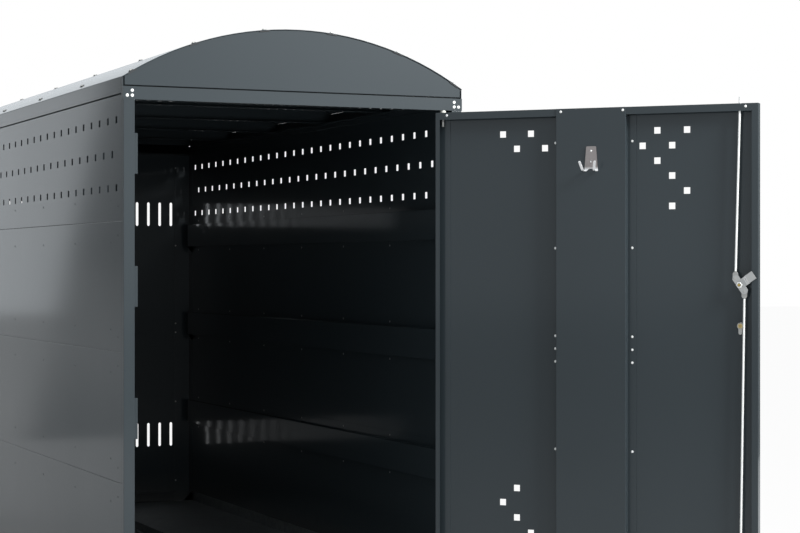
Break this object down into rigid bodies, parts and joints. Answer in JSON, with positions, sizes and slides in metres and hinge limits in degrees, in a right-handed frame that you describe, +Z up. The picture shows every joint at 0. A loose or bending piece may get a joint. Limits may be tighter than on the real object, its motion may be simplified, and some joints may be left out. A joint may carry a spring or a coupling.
{
  "type": "bicycle locker",
  "caption": "Single-bay sheet steel bicycle locker with an arched roof, slotted walls and one pivoted door with a turning rod lock.",
  "frame": {"origin": "on the ground, at the middle of the base, on the underside of the middle cross bar", "axes": "+X to the right when facing the door opening, where the door is hung; +Y from the front to the back wall; +Z up"},
  "size_m": [1.5141, 3.0155, 1.5198],
  "materials": {
    "anthracite_paint": "semi-gloss anthracite powder coat",
    "roof_paint": "semi-gloss anthracite powder coat, pale where it faces the sky",
    "galvanised": "hot-dip galvanised, dull",
    "zinc_plate": "bright zinc plate",
    "stainless": "brushed stainless steel",
    "brass": "satin brass",
    "nylon": "natural nylon"
  },
  "bodies": {
    "housing": {"back_joint_strip": "anthracite_paint", "back_panel_lower": "anthracite_paint", "back_panel_upper": "anthracite_paint", "base_cross_bar": "galvanised", "base_rail_left": "galvanised", "base_rail_right": "galvanised", "eave_fascia_left": "anthracite_paint", "eave_fascia_right": "anthracite_paint", "floor_panel": "galvanised", "front_gable": "anthracite_paint", "front_header": "anthracite_paint", "front_post_left": "anthracite_paint", "front_post_right": "anthracite_paint", "pivot_bush_bottom": "nylon", "pivot_bush_top": "nylon", "pivot_pin_bottom": "zinc_plate", "pivot_pin_top": "zinc_plate", "rear_gable": "anthracite_paint", "rear_header": "anthracite_paint", "rear_post_left": "anthracite_paint", "rear_post_right": "anthracite_paint", "rear_sill": "anthracite_paint", "roof_rib_1": "anthracite_paint", "roof_rib_2": "anthracite_paint", "roof_rib_3": "anthracite_paint", "roof_rib_4": "anthracite_paint", "roof_sheet": "roof_paint", "seam_rail_1_left": "anthracite_paint", "seam_rail_1_right": "anthracite_paint", "seam_rail_2_left": "anthracite_paint", "seam_rail_2_right": "anthracite_paint", "seam_rail_3_left": "anthracite_paint", "seam_rail_3_right": "anthracite_paint", "side_panel_1_left": "anthracite_paint", "side_panel_1_right": "anthracite_paint", "side_panel_2_left": "anthracite_paint", "side_panel_2_right": "anthracite_paint", "side_panel_3_left": "anthracite_paint", "side_panel_3_right": "anthracite_paint", "side_panel_4_left": "anthracite_paint", "side_panel_4_right": "anthracite_paint", "stop_tab_lower": "anthracite_paint", "stop_tab_middle": "anthracite_paint", "stop_tab_upper": "anthracite_paint", "threshold": "anthracite_paint", "wheel_channel": "galvanised"},
    "door": {"door_leaf": "anthracite_paint", "door_band": "anthracite_paint", "hinge_stile": "anthracite_paint", "coat_hook": "stainless", "escutcheon": "stainless", "lock_cylinder": "zinc_plate"},
    "lock_cam": {"door_handle": "stainless", "lock_spindle": "zinc_plate", "cam_plate": "zinc_plate", "cam_nut": "zinc_plate"},
    "rod_upper": {"lock_rod_upper": "zinc_plate"},
    "rod_lower": {"lock_rod_lower": "zinc_plate"},
    "key": {"key_core": "brass"}
  },
  "joints": [
    {"name": "door_hinge", "type": "hinge", "parent": "housing", "child": "door", "pos_m": [0.423, -1.182, 0.68], "axis": [0, 0, 1], "range_deg": [-133.5, 6.5]},
    {"name": "handle_turn", "type": "hinge", "parent": "door", "child": "lock_cam", "pos_m": [0.98607, -1.77536, 0.85], "axis": [-0.7254, -0.6884, 0], "range_deg": [-34.2, 55.8]},
    {"name": "rod_upper_pivot", "type": "hinge", "parent": "lock_cam", "child": "rod_upper", "pos_m": [0.96939, -1.77507, 0.8672], "axis": [-0.7254, -0.6884, 0], "range_deg": [-58, 36]},
    {"name": "rod_lower_pivot", "type": "hinge", "parent": "lock_cam", "child": "rod_lower", "pos_m": [0.98549, -1.79203, 0.8328], "axis": [-0.7254, -0.6884, 0], "range_deg": [-58, 36]},
    {"name": "key_turn", "type": "hinge", "parent": "door", "child": "key", "pos_m": [0.98607, -1.77536, 0.745], "axis": [-0.7254, -0.6884, 0], "range_deg": [0, 360]}
  ],
  "couplings": [
    {"joint": "rod_upper_pivot", "follows": "handle_turn", "ratio": -1.0289},
    {"joint": "rod_lower_pivot", "follows": "handle_turn", "ratio": -1.0165}
  ]
}
